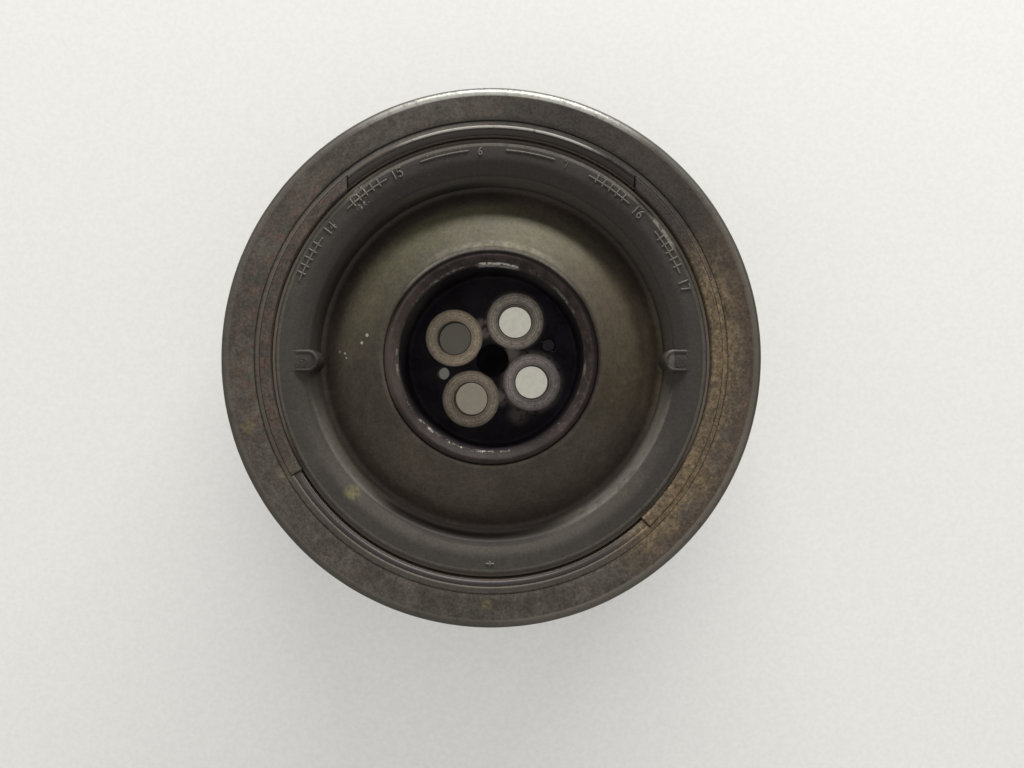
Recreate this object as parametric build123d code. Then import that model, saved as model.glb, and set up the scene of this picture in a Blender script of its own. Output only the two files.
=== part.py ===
"""Crankshaft torsional damper with a rubber-decoupled belt pulley, one STEP file for each piece.

The damper lies on its engine-side face: +Z is its axis and points to the front, and the origin is the
centre of that rear face. Clock angles are seen from the front, clockwise from +Y. Sizes are in millimetres
and degrees.
"""
from build123d import *
import os
from math import cos, degrees, radians, sin

# Fits shared by several pieces
bond_gap = 0.05                # left at each pressed or bonded joint face
running_gap = 0.08             # left at each sliding face of the pulley's bearing

# Belt pulley
pulley_diameter = 165.0
front_face_height = 50.0       # front face of the pulley above the rear plane
front_corner_radius = 2.5
rear_corner_radius = 0.8
rib_count = 6
rib_pitch = 3.56
groove_depth = 2.7
groove_root_width = 0.8
groove_side_angle = 20.0       # each groove side from the radial direction
flange_height = 2.3            # side flanges above the rib tips
front_flange_width = 4.2
rear_flange_width = 3.0
rim_wall = 3.0                 # metal under the groove roots
carrier_seat_step = 2.6        # carrier bore below the bearing bore
carrier_seat_depth = 14.0
carrier_shoulder = 1.5
shoulder_thickness = 2.2

# Plain bearing of the pulley
bush_wall = 2.0
bush_end_gap = 0.6
front_thrust_thickness = 1.9
rear_thrust_thickness = 1.5
rear_thrust_width = 4.6

# Inertia ring
inertia_flange_inset = 2.0     # the ring's rear flange inside the pulley's outer radius
inertia_barrel_wall = 13.8
inertia_edge_chamfer = 1.2
balance_hole_diameter = 9.0
balance_hole_depth = 6.0
balance_hole_inset = 11.0      # hole centres inside the flange's outer edge
balance_hole_angles = (196.0, 208.5, 221.0)

# Torsional damper rubber
damper_rubber_wall = 3.3
damper_rubber_base = 4.0
damper_rubber_end_drop = 2.2   # its front end below the inertia ring's
rubber_end_dip = 1.0           # hollow in the middle of each free end

# Hub
recess_radius = 28.4
tube_wall = 3.7
hub_front_drop = 0.9           # the tube's edge below the dish's sharp crest
funnel_drop = 2.2
funnel_land = 1.5
mounting_face_height = 13.5
bolt_flange_thickness = 8.5
recess_corner_radius = 1.2
web_thickness = 7.0
web_corner_radius = 2.5
hub_rim_wall = 5.0
hub_rim_overhang = 1.5         # hub rim past each end of the damper rubber
spigot_radius = 8.0
spigot_height = 5.0
spigot_chamfer = 0.6
bolt_circle_diameter = 30.0
bolt_hole_diameter = 11.0
bolt_count = 4
first_bolt_angle = 29.7
bolt_mouth_chamfer = 0.35
bolt_seat_diameter = 18.4
bolt_seat_depth = 0.3
puller_hole_diameter = 10.5
puller_hole_depth = 9.5
puller_mouth_chamfer = 0.5
jig_hole_diameter = 4.1
jig_hole_circle_radius = 17.3
jig_hole_angle = 255.0
locating_pin_circle_radius = 19.2
locating_pin_angle = 75.0
pin_shank_radius = 2.4
pin_free_radius = 2.0
pin_free_length = 4.5
pin_end_drop = 0.4             # the pin's front end below the recess floor
pin_chamfer = 0.4

# Pressed inner carrier: collar on the hub, dished cone, flared outer rim
sheet_thickness = 2.4
collar_height = 14.5
crest_rise = 2.4               # middle line's sharp corner above the collar, over the pulley's front face
crest_bend_radius = 2.0
valley_drop = 14.2             # middle line's sharp corner under the valley, below the front face
valley_bend_radius = 3.2
rim_flare = 2.3                # the rim's outward lean over its height
rim_inset = 10.5               # valley corner inside the rubber's outer face
rim_top_drop = 4.2             # top of the rim's middle line below the pulley's front face

# Decoupling rubber
rubber_face_drop = 1.0         # its flat face below the pulley's front face
rubber_lip_radius = 0.9
rubber_lip_cover = 0.3         # how far the rubber's outer lip covers the steel lip beside it
rubber_flat_width = 5.55
rubber_slope_width = 4.5
rubber_slope_drop = 1.5
rubber_edge_radius = 1.3
rubber_foot_cover = 0.8        # rubber on the inner side of the carrier's rim
rubber_base_drop = 14.6        # lower end below the pulley's front face
tab_angles = (90.9, 269.1)
tab_width = 6.8
tab_reach = 3.25               # tongue's tip inside the foot of the rubber's slope
tab_edge_radius = 0.6

# Outer carrier: flange at the pulley, bead beside it, channel and inner lip
flange_drop = 0.12             # the flange's front below the pulley's front face
flange_edge_radius = 0.2
bead_rise = 0.1                # the bead's top above the pulley's front face
bead_step_inset = 0.7          # foot of the step up to the bead, inside the carrier's outer edge
bead_step_run = 1.1
bead_step_radius = 0.3
bead_width = 2.35
bead_edge_radius = 1.2
channel_depth = 6.5
channel_width = 0.8
inner_lip_wall = 1.3
inner_lip_drop = 2.1

# Pockets in the bead for the stop segments
pocket_wall = 1.45             # left between a pocket and the carrier's outer edge
pocket_depth = 2.0
pocket_end_gap = 0.25

# Stop segments, each filling its pocket and the channel beside it
stop_face_rise = 0.15          # their top above the pulley's front face
stop_edge_chamfer = 0.3
right_stop_angles = (39.65, 136.8)
left_stop_angles = (239.4, 320.4)
right_stop_slants = (1.3, 0)   # half the angle between an end's inner and outer corners
left_stop_slants = (0, -1.3)

# Radii worked out from the sizes above
pulley_radius = pulley_diameter / 2
rib_tip_radius = pulley_radius - flange_height
rib_root_radius = rib_tip_radius - groove_depth
bearing_bore_radius = rib_root_radius - rim_wall
carrier_seat_radius = bearing_bore_radius - carrier_seat_step
pulley_bore_radius = carrier_seat_radius - carrier_shoulder
bush_outer_radius = bearing_bore_radius - running_gap
bush_inner_radius = bush_outer_radius - bush_wall
barrel_radius = bush_inner_radius - bond_gap
inertia_bore_radius = barrel_radius - inertia_barrel_wall
inertia_flange_radius = pulley_radius - inertia_flange_inset
damper_rubber_outer = inertia_bore_radius - bond_gap
damper_rubber_inner = damper_rubber_outer - damper_rubber_wall
hub_rim_radius = damper_rubber_inner - bond_gap
hub_rim_bore = hub_rim_radius - hub_rim_wall
tube_radius = recess_radius + tube_wall
carrier_outer_radius = carrier_seat_radius - bond_gap
step_foot_radius = carrier_outer_radius - bead_step_inset
bead_outer_radius = step_foot_radius - bead_step_run
bead_inner_radius = bead_outer_radius - bead_width
pocket_radius = carrier_outer_radius - pocket_wall
lip_outer_radius = bead_inner_radius - channel_width
carrier_bore_radius = lip_outer_radius - inner_lip_wall
rubber_outer_radius = carrier_bore_radius - bond_gap
stop_inner_radius = lip_outer_radius + bond_gap
stop_outer_radius = pocket_radius - bond_gap
rubber_lip_outer = carrier_bore_radius + rubber_lip_cover
collar_middle_radius = tube_radius + bond_gap + sheet_thickness / 2
valley_radius = rubber_outer_radius - rim_inset
bolt_circle_radius = bolt_circle_diameter / 2

# Heights worked out from the sizes above
crest_height = front_face_height + crest_rise
valley_height = front_face_height - valley_drop
pulley_width = front_flange_width + rib_count * rib_pitch + rear_flange_width
pulley_rear = front_face_height - pulley_width
carrier_seat_height = front_face_height - carrier_seat_depth
shoulder_rear = carrier_seat_height - shoulder_thickness
barrel_top = shoulder_rear - front_thrust_thickness - 2 * running_gap
damper_rubber_top = barrel_top - damper_rubber_end_drop
inertia_flange_top = pulley_rear - rear_thrust_thickness - 2 * running_gap
recess_floor_height = mounting_face_height + bolt_flange_thickness
hub_front_height = crest_height - hub_front_drop
rubber_face_height = front_face_height - rubber_face_drop
flange_front_height = front_face_height - flange_drop
bead_height = front_face_height + bead_rise
pocket_height = front_face_height - pocket_depth
channel_floor_height = front_face_height - channel_depth
inner_lip_height = front_face_height - inner_lip_drop
rubber_base_height = front_face_height - rubber_base_drop
rim_top_height = front_face_height - rim_top_drop


def clock(radius, angle):
    """Point at a radius and a clock angle: clockwise from +Y, seen from the front."""
    return (radius * sin(radians(angle)), radius * cos(radians(angle)))


def section(points, rounds=()):
    """Closed outline of (radius, height) points, with each (point, radius) of rounds made an arc."""
    face = make_face(Polyline(*points, close=True))
    for point, radius in rounds:
        nearest = face.vertices().sort_by_distance(Vector(*point))[0]
        face = fillet(nearest, radius)
    return face


def turned(face):
    """Solid of revolution of a (radius, height) section about the damper's axis."""
    return revolve(Plane.XZ * face, Axis.Z)


def box_section(inner, outer, low, high):
    """Rectangular ring section."""
    return section([(inner, low), (outer, low), (outer, high), (inner, high)])


def belt_pulley():
    """Turned steel ring: ribbed rim, bearing bore at the rear and the outer carrier's seat at the front."""
    groove_flare = groove_depth * sin(radians(groove_side_angle)) / cos(radians(groove_side_angle))
    first_groove = front_face_height - front_flange_width
    rim = [(pulley_radius, front_face_height), (pulley_radius, first_groove), (rib_tip_radius, first_groove)]
    for index in range(rib_count):
        middle = first_groove - (index + 0.5) * rib_pitch
        half_root = groove_root_width / 2
        half_tip = half_root + groove_flare
        rim.append((rib_tip_radius, middle + half_tip))
        rim.append((rib_root_radius, middle + half_root))
        rim.append((rib_root_radius, middle - half_root))
        rim.append((rib_tip_radius, middle - half_tip))
    last_groove = pulley_rear + rear_flange_width
    rim += [(rib_tip_radius, last_groove), (pulley_radius, last_groove), (pulley_radius, pulley_rear)]
    bore = [
        (bearing_bore_radius, pulley_rear),
        (bearing_bore_radius, shoulder_rear),
        (pulley_bore_radius, shoulder_rear),
        (pulley_bore_radius, carrier_seat_height),
        (carrier_seat_radius, carrier_seat_height),
        (carrier_seat_radius, front_face_height),
    ]
    front_corner = ((pulley_radius, front_face_height), front_corner_radius)
    rear_corner = ((pulley_radius, pulley_rear), rear_corner_radius)
    return turned(section(rim + bore, [front_corner, rear_corner]))


def bearing_bush():
    """Plain bush between the inertia ring's barrel and the pulley's bearing bore."""
    low = inertia_flange_top + bush_end_gap
    return turned(box_section(bush_inner_radius, bush_outer_radius, low, barrel_top - bush_end_gap))


def thrust_ring_front():
    """Washer between the barrel's end and the pulley's shoulder."""
    low = barrel_top + running_gap
    outer = bearing_bore_radius - bush_end_gap
    return turned(box_section(pulley_bore_radius, outer, low, low + front_thrust_thickness))


def thrust_ring_rear():
    """Washer between the inertia ring's flange and the pulley's rear face."""
    low = inertia_flange_top + running_gap
    inner = bearing_bore_radius + bush_end_gap
    return turned(box_section(inner, inner + rear_thrust_width, low, low + rear_thrust_thickness))


def inertia_ring():
    """Cast ring with a wide rear flange, a barrel that carries the pulley, and balance drillings."""
    outline = [
        (inertia_bore_radius, 0),
        (inertia_flange_radius, 0),
        (inertia_flange_radius, inertia_flange_top),
        (barrel_radius, inertia_flange_top),
        (barrel_radius, barrel_top),
        (inertia_bore_radius, barrel_top),
    ]
    ring = turned(section(outline))
    ring = chamfer(ring.edges().group_by(Axis.Z)[0], inertia_edge_chamfer)
    for angle in balance_hole_angles:
        x, y = clock(inertia_flange_radius - balance_hole_inset, angle)
        ring -= Pos(x, y, 0) * Cylinder(balance_hole_diameter / 2, 2 * balance_hole_depth)
    return ring


def damper_rubber():
    """Rubber track between the hub's rim and the inertia ring, hollowed at both free ends."""
    top = damper_rubber_top
    middle = (damper_rubber_inner + damper_rubber_outer) / 2
    lower = ThreePointArc(
        (damper_rubber_inner, damper_rubber_base),
        (middle, damper_rubber_base + rubber_end_dip),
        (damper_rubber_outer, damper_rubber_base),
    )
    upper = ThreePointArc(
        (damper_rubber_outer, damper_rubber_top),
        (middle, damper_rubber_top - rubber_end_dip),
        (damper_rubber_inner, damper_rubber_top),
    )
    outer = Line(lower @ 1, upper @ 0)
    inner = Line(upper @ 1, lower @ 0)
    return turned(make_face([lower, outer, upper, inner]))


def hub():
    """Turned hub: recessed cup with the bolt flange, web and outer rim, bored for bolts, puller and pin."""
    rim_low = damper_rubber_base - hub_rim_overhang
    rim_high = damper_rubber_top + hub_rim_overhang
    web_top = mounting_face_height + web_thickness
    spigot_end = mounting_face_height - spigot_height
    funnel_foot = hub_front_height - funnel_drop
    floor_corner = (recess_radius, recess_floor_height)
    land_corner = (tube_radius - funnel_land, hub_front_height)
    web_corners = [(hub_rim_bore, mounting_face_height), (hub_rim_bore, web_top), (tube_radius, web_top)]
    outline = [
        (0, spigot_end),
        (spigot_radius - spigot_chamfer, spigot_end),
        (spigot_radius, spigot_end + spigot_chamfer),
        (spigot_radius, mounting_face_height),
        web_corners[0],
        (hub_rim_bore, rim_low),
        (hub_rim_radius, rim_low),
        (hub_rim_radius, rim_high),
        (hub_rim_bore, rim_high),
        web_corners[1],
        web_corners[2],
        (tube_radius, hub_front_height),
        land_corner,
        (recess_radius, funnel_foot),
        floor_corner,
        (0, recess_floor_height),
    ]
    rounds = [(corner, web_corner_radius) for corner in web_corners]
    rounds += [(floor_corner, recess_corner_radius), (land_corner, funnel_land / 2)]
    body = turned(section(outline, rounds))
    body -= bolt_holes() + puller_hole()
    jig_x, jig_y = clock(jig_hole_circle_radius, jig_hole_angle)
    body -= Pos(jig_x, jig_y, recess_floor_height) * Cylinder(jig_hole_diameter / 2, 2 * bolt_flange_thickness)
    pin_x, pin_y = clock(locating_pin_circle_radius, locating_pin_angle)
    pin_hole_radius = pin_shank_radius + bond_gap
    body -= Pos(pin_x, pin_y, recess_floor_height) * Cylinder(pin_hole_radius, 2 * bolt_flange_thickness)
    return body


def bolt_holes():
    """Through holes on the bolt circle, each with a chamfered mouth in a shallow seat for the bolt head."""
    mouth = recess_floor_height - bolt_seat_depth
    hole_radius = bolt_hole_diameter / 2
    outline = [
        (0, 0),
        (hole_radius, 0),
        (hole_radius, mouth - bolt_mouth_chamfer),
        (hole_radius + bolt_mouth_chamfer, mouth),
        (bolt_seat_diameter / 2, mouth),
        (bolt_seat_diameter / 2, recess_floor_height + bolt_seat_depth),
        (0, recess_floor_height + bolt_seat_depth),
    ]
    cutter = turned(section(outline))
    cutters = Part()
    for index in range(bolt_count):
        x, y = clock(bolt_circle_radius, first_bolt_angle + index * 360 / bolt_count)
        cutters += Pos(x, y, 0) * cutter
    return cutters


def puller_hole():
    """Blind centre hole for the puller's screw, with a drilled point and a chamfered mouth."""
    radius = puller_hole_diameter / 2
    foot = recess_floor_height - puller_hole_depth
    outline = [
        (0, foot - radius / 2),
        (radius, foot),
        (radius, recess_floor_height - puller_mouth_chamfer),
        (radius + 2 * puller_mouth_chamfer, recess_floor_height + puller_mouth_chamfer),
        (0, recess_floor_height + puller_mouth_chamfer),
    ]
    return turned(section(outline))


def locating_pin():
    """Shouldered dowel pressed through the bolt flange, its free end towards the crankshaft."""
    free_end = mounting_face_height - pin_free_length
    outline = [
        (0, free_end),
        (pin_free_radius - pin_chamfer, free_end),
        (pin_free_radius, free_end + pin_chamfer),
        (pin_free_radius, mounting_face_height),
        (pin_shank_radius, mounting_face_height),
        (pin_shank_radius, recess_floor_height - pin_end_drop - pin_chamfer),
        (pin_shank_radius - pin_chamfer, recess_floor_height - pin_end_drop),
        (0, recess_floor_height - pin_end_drop),
    ]
    x, y = clock(locating_pin_circle_radius, locating_pin_angle)
    return Pos(x, y, 0) * turned(section(outline))


def carrier_sheet(margin=0):
    """Section of the pressed inner carrier: its bent middle line given the sheet's thickness.

    A margin makes the sheet fatter on both sides and longer at the rim's edge.
    """
    collar_foot = (collar_middle_radius, crest_height - collar_height)
    crest = (collar_middle_radius, crest_height)
    valley = (valley_radius, valley_height)
    lean = rim_flare / (rim_top_height - valley_height)
    rim_top = (valley_radius + rim_flare + margin * lean, rim_top_height + margin)
    middle_line = FilletPolyline(collar_foot, crest, valley, rim_top, radius=[crest_bend_radius, valley_bend_radius])
    return trace(middle_line, line_width=sheet_thickness + 2 * margin)


def inner_carrier():
    """Pressed steel dish: collar on the hub's tube, cone down to the valley, rim inside the rubber."""
    return turned(carrier_sheet())


def decoupler_rubber():
    """Rubber ring moulded over the inner carrier's rim and into the outer carrier, with two tongues."""
    lip_foot = inner_lip_height + bond_gap
    slope_top = rubber_lip_outer - rubber_flat_width
    slope_foot = (slope_top - rubber_slope_width, rubber_face_height - rubber_slope_drop)
    lip_corner = (rubber_lip_outer, rubber_face_height)
    wall_foot = (valley_radius - sheet_thickness / 2 - rubber_foot_cover, valley_height)
    outline = [
        (rubber_outer_radius, rubber_base_height),
        (rubber_outer_radius, lip_foot),
        (rubber_lip_outer, lip_foot),
        lip_corner,
        (slope_top, rubber_face_height),
        slope_foot,
        wall_foot,
        (valley_radius, valley_height),
        (valley_radius, rubber_base_height),
    ]
    ring = section(outline, [(lip_corner, rubber_lip_radius), (slope_foot, rubber_edge_radius)])
    body = turned(ring)
    for angle in tab_angles:
        body += rubber_tab(slope_foot[0] - tab_reach, slope_top, angle)
    return body - turned(carrier_sheet(bond_gap))


def rubber_tab(tip_radius, root_radius, angle):
    """Tongue with a half-round tip that reaches inwards from the rubber's flat face over the valley."""
    half_width = tab_width / 2
    tip_centre = tip_radius + half_width
    tongue = Pos(0, (tip_centre + root_radius) / 2) * Rectangle(tab_width, root_radius - tip_centre)
    tongue += Pos(0, tip_centre) * Circle(half_width)
    block = extrude(Pos(0, 0, valley_height) * tongue, rubber_face_height - valley_height)
    block = fillet(block.edges().group_by(Axis.Z)[-1], tab_edge_radius)
    return Rot(0, 0, -angle) * block


def outer_carrier():
    """Turned ring pressed into the pulley: flange, bead and channel, with a pocket for each stop segment."""
    flange_edge = (carrier_outer_radius, flange_front_height)
    step_foot = (step_foot_radius, flange_front_height)
    step_top = (bead_outer_radius, bead_height)
    bead_edge = (bead_inner_radius, bead_height)
    outline = [
        (carrier_bore_radius, carrier_seat_height + bond_gap),
        (carrier_outer_radius, carrier_seat_height + bond_gap),
        flange_edge,
        step_foot,
        step_top,
        bead_edge,
        (bead_inner_radius, channel_floor_height),
        (lip_outer_radius, channel_floor_height),
        (lip_outer_radius, inner_lip_height),
        (carrier_bore_radius, inner_lip_height),
    ]
    rounds = [(flange_edge, flange_edge_radius), (bead_edge, bead_edge_radius)]
    rounds += [(corner, bead_step_radius) for corner in (step_foot, step_top)]
    ring = turned(section(outline, rounds))
    pocket = turned(box_section(lip_outer_radius, pocket_radius, pocket_height, bead_height + pocket_depth))
    for angles, slants in ((right_stop_angles, right_stop_slants), (left_stop_angles, left_stop_slants)):
        ring -= pocket & stop_wedge(angles, slants, pocket_end_gap)
    return ring


def stop_segment(angles, slants):
    """Thick arc seated in its pocket, with a leg down to the channel's floor; each end leans by its slant."""
    foot = channel_floor_height + bond_gap
    seat = pocket_height + bond_gap
    top = front_face_height + stop_face_rise
    outline = [
        (stop_inner_radius, foot),
        (bead_inner_radius - bond_gap, foot),
        (bead_inner_radius - bond_gap, seat),
        (stop_outer_radius, seat),
        (stop_outer_radius, top),
        (stop_inner_radius, top),
    ]
    ring = turned(section(outline))
    ring = chamfer(ring.edges().group_by(Axis.Z)[-1], stop_edge_chamfer)
    return ring & stop_wedge(angles, slants)


def stop_wedge(angles, slants, margin=0):
    """Wedge between the end planes of a stop segment; a margin widens it at both ends."""
    spread = degrees(margin / stop_outer_radius)
    start = end_line(angles[0] - spread, slants[0])
    end = end_line(angles[1] + spread, slants[1])
    beyond = clock(4 * stop_outer_radius, (angles[0] + angles[1]) / 2)
    face = make_face(Polyline(*start, beyond, *reversed(end), close=True))
    return extrude(face, 2 * front_face_height)


def end_line(angle, slant):
    """Two points of an end plane, which leans by its slant between the segment's inner and outer edges."""
    lean_per_mm = 2 * slant / (stop_outer_radius - stop_inner_radius)
    middle = (stop_outer_radius + stop_inner_radius) / 2
    inner_point = Vector(*clock(stop_inner_radius, angle + lean_per_mm * (middle - stop_inner_radius)))
    outer_point = Vector(*clock(stop_outer_radius, angle - lean_per_mm * (stop_outer_radius - middle)))
    direction = (outer_point - inner_point).normalized()
    start = inner_point - direction * (stop_inner_radius / 2)
    finish = outer_point + direction * stop_outer_radius
    return [(start.X, start.Y), (finish.X, finish.Y)]


def main():
    """Build every piece and write it to its own file."""
    pieces = {
        "belt_pulley": belt_pulley(),
        "bearing_bush": bearing_bush(),
        "thrust_ring_front": thrust_ring_front(),
        "thrust_ring_rear": thrust_ring_rear(),
        "inertia_ring": inertia_ring(),
        "damper_rubber": damper_rubber(),
        "hub": hub(),
        "locating_pin": locating_pin(),
        "inner_carrier": inner_carrier(),
        "decoupler_rubber": decoupler_rubber(),
        "outer_carrier": outer_carrier(),
        "stop_segment_right": stop_segment(right_stop_angles, right_stop_slants),
        "stop_segment_left": stop_segment(left_stop_angles, left_stop_slants),
    }
    os.makedirs("parts", exist_ok=True)
    for name, piece in pieces.items():
        export_step(piece, f"parts/{name}.step")


main()
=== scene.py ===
"""Dresses the crankshaft damper's CAD frame as a used part: turned steel, pressed dish, moulded rubber, rust.

The frame is in metres with +Z along the axis to the front. Sizes below are in millimetres and clock angles
in degrees, clockwise from +Y seen from the front.
"""
from functools import reduce
from itertools import product
from math import cos, pi, radians, sin

import bmesh
import bpy
import numpy as np
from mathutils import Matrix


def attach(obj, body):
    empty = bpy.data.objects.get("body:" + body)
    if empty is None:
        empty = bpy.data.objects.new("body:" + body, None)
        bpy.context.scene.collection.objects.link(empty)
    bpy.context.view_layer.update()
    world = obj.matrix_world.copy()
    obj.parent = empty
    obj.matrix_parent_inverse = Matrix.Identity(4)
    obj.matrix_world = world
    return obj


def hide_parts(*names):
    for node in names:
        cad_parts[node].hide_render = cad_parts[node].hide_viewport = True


bl_info = {
    "name": "Crankshaft damper finish",
    "version": (1, 0, 0),
    "blender": (4, 5, 0),
    "location": "View3D > Sidebar > Damper",
    "description": "Builds the detailed pieces and finishes of a rubber-decoupled crankshaft damper",
    "category": "Object",
}

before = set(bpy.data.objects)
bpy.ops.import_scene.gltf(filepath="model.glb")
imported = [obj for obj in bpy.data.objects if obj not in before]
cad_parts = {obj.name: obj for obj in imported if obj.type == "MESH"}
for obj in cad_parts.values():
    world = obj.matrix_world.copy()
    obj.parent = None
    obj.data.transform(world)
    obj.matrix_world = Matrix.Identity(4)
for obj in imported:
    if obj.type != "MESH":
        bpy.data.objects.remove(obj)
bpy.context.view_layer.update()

MM = 0.001
FRONT_FACE = 50.0                      # height of the pulley's front face over the rear plane
RUBBER_FACE = FRONT_FACE - 1.0         # height of the rubber's flat face
PULLEY_RADIUS = 82.5
PULLEY_REAR = 21.44
CARRIER_SEAT = 71.9                    # radius at which the carrier sits in the pulley
CHANNEL = (66.9, 67.7)                 # radii of the stop channel's two walls
CHANNEL_FLOOR = 43.5
POCKET_FLOOR = 48.0                    # height at which the stop segments' flanges seat
POCKET_RADIUS = 70.4
SEGMENT_GAP = 0.05                     # left between a stop segment and its seat
BOLT_CIRCLE = 15.0                     # radius of the bolt holes' circle

# Each stop segment's start and end on the clock, and the lean of its two ends
STOPS = {"right": (39.65, 136.8, (1.3, 0)), "left": (239.4, 320.4, (0, -1.3))}

# Clock angles of the rubber's two tongues
TONGUES = (90.9, 269.1)

# Middle line of the dish's sheet with the roundings of its upper and lower face: collar up to the crest, cone
# down to the valley, rim leaning outwards
DISH_LINE = [(33.35, 37.9, 0, 0), (33.35, 50.2, 1.1, 0.3), (55.05, 35.8, 2.0, 4.4), (57.35, 45.8, 0, 0)]
DISH_SHEET = 2.4

# Each bolt seat's clock angle, its bright colour and its dull one
SEATS = (
    (29.7, (0.52, 0.465, 0.4), (0.21, 0.185, 0.155)),
    (119.7, (0.49, 0.435, 0.41), (0.21, 0.18, 0.175)),
    (209.7, (0.5, 0.42, 0.345), (0.23, 0.19, 0.15)),
    (299.7, (0.62, 0.52, 0.4), (0.33, 0.27, 0.205)),
)


# Shapes

def clock(radius, angle):
    """Point at a radius and a clock angle: x = radius sin(angle), y = radius cos(angle)."""
    turn = np.radians(angle)
    return radius * np.sin(turn), radius * np.cos(turn)


def swung(x, y, angle):
    """Points turned clockwise round the axis by an angle."""
    turn = radians(angle)
    return x * cos(turn) + y * sin(turn), y * cos(turn) - x * sin(turn)


def cloud(x, y, z, size, seed):
    """Smooth noise from -1 to 1: seeded numbers on a lattice of that size, blended by 3t^2 - 2t^3 on each
    axis."""
    place = np.stack(np.broadcast_arrays(x, y, z)).astype(float) / size
    cell = np.floor(place).astype(np.int64)
    part = place - cell
    part = part * part * (3 - 2 * part)
    total = 0
    for corner in product((0, 1), repeat=3):
        mix = seed * 2654435
        share = 1
        for step, low, inside, prime in zip(corner, cell, part, (73856093, 19349663, 83492791)):
            mix = mix ^ (low + step) * prime
            share = share * (inside if step else 1 - inside)
        mix = (mix ^ (mix >> 13)) * 1274126177 & 0x7FFFFFFF
        mix = (mix ^ (mix >> 11)) * 668265263 & 0x7FFFFFFF
        total = total + share * ((mix % 4096) / 2048 - 1)
    return total


def rough_cloud(x, y, z, sizes, seed):
    """Smooth noise of a large and a small size, six parts to four."""
    return cloud(x, y, z, sizes[0], seed) * 0.6 + cloud(x, y, z, sizes[1], seed + 1) * 0.4


def outline(corners, longest=1.5, closed=True):
    """Line through (radius, height, rounding) corners: each corner gives way to an arc of its rounding,
    tangent to both of its sides, and each straight run is divided into steps no longer than longest."""
    points = np.array([corner[:2] for corner in corners], float)
    pieces = []
    count = len(points)
    for index, (here, corner) in enumerate(zip(points, corners)):
        rounding = corner[2]
        if rounding == 0 or (not closed and index in (0, count - 1)):
            pieces.append(here[None])
            continue
        back = points[index - 1] - here
        ahead = points[(index + 1) % count] - here
        back /= np.linalg.norm(back)
        ahead /= np.linalg.norm(ahead)
        half = np.arccos(np.clip(back @ ahead, -1, 1)) / 2
        middle = (back + ahead) / np.linalg.norm(back + ahead)
        centre = here + middle * rounding / np.sin(half)
        start = here + back * rounding / np.tan(half) - centre
        end = here + ahead * rounding / np.tan(half) - centre
        sweep = pi - 2 * half
        share = np.linspace(0, 1, 3 + int(sweep * rounding * 2.5))[:, None]
        arc = np.sin((1 - share) * sweep) * start + np.sin(share * sweep) * end
        pieces.append(centre + arc / np.sin(sweep))
    line = []
    for index, piece in enumerate(pieces):
        line.append(piece)
        if closed or index < count - 1:
            gap = pieces[(index + 1) % count][0] - piece[-1]
            steps = int(np.ceil(np.linalg.norm(gap) / longest))
            line.append(piece[-1] + gap * (np.arange(1, steps) / max(steps, 1))[:, None])
    line = np.vstack(line)
    return counter_clockwise(line) if closed else line


def sheet_sides(corners, thickness):
    """Both faces of a bent sheet as open lines: each (radius, height, left rounding, right rounding) corner
    of its middle line is moved half the thickness to the left and to the right, mitred at the bends."""
    points = np.array([corner[:2] for corner in corners], float)
    along = np.diff(points, axis=0)
    along /= np.linalg.norm(along, axis=1)[:, None]
    left = np.stack([-along[:, 1], along[:, 0]], 1)
    before = np.vstack([left[:1], left])
    after = np.vstack([left, left[-1:]])
    mitre = (before + after) / (1 + np.sum(before * after, axis=1))[:, None] * thickness / 2
    faces = []
    for sign, place in ((1, 2), (-1, 3)):
        moved = points + sign * mitre
        rounded = [(*point, corner[place]) for point, corner in zip(moved, corners)]
        faces.append(outline(rounded, 0.8, closed=False))
    return faces


def counter_clockwise(line):
    """The closed line, turned round where its signed area isn't positive, so that it runs
    counter-clockwise in (radius, height)."""
    after = np.roll(line, -1, 0)
    area = np.sum(line[:, 0] * after[:, 1] - after[:, 0] * line[:, 1]) / 2
    return line if area > 0 else line[::-1]


def grid_faces(rows, columns, closed_rows):
    """Quads between neighbouring rows of a grid of points whose columns go round, as its rows do if
    closed."""
    row = np.arange(rows if closed_rows else rows - 1)[:, None]
    column = np.arange(columns)[None]
    next_row = (row + 1) % rows
    next_column = (column + 1) % columns
    quads = [row * columns + column, next_row * columns + column]
    quads += [next_row * columns + next_column, row * columns + next_column]
    return np.stack([quad.ravel() for quad in quads], 1).tolist()


def capped(rings):
    """Closed shape of a row of rings of points, joined by quads, with a face over the first and the last."""
    count, size = rings.shape[:2]
    faces = grid_faces(count, size, False)
    faces += [list(range(size)), list(range((count - 1) * size, count * size))]
    return rings.reshape(-1, 3), faces


def turned(line, steps, form=None):
    """Surface of revolution of a closed line: the point at (radius, height) is carried round the axis, moved
    along the line's own normal by form(x, y, height)."""
    angle = np.linspace(0, 360, steps, endpoint=False)[:, None]
    along = np.roll(line, -1, 0) - np.roll(line, 1, 0)
    along /= np.maximum(np.linalg.norm(along, axis=1), 1e-9)[:, None]
    radius = np.broadcast_to(line[None, :, 0], (steps, len(line)))
    height = np.broadcast_to(line[None, :, 1], (steps, len(line)))
    if form:
        shift = form(*clock(radius, angle), height)
        radius = radius + along[None, :, 1] * shift
        height = height - along[None, :, 0] * shift
    points = np.stack([*clock(radius, angle), height], 2).reshape(-1, 3)
    return points, grid_faces(steps, len(line), True)


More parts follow.
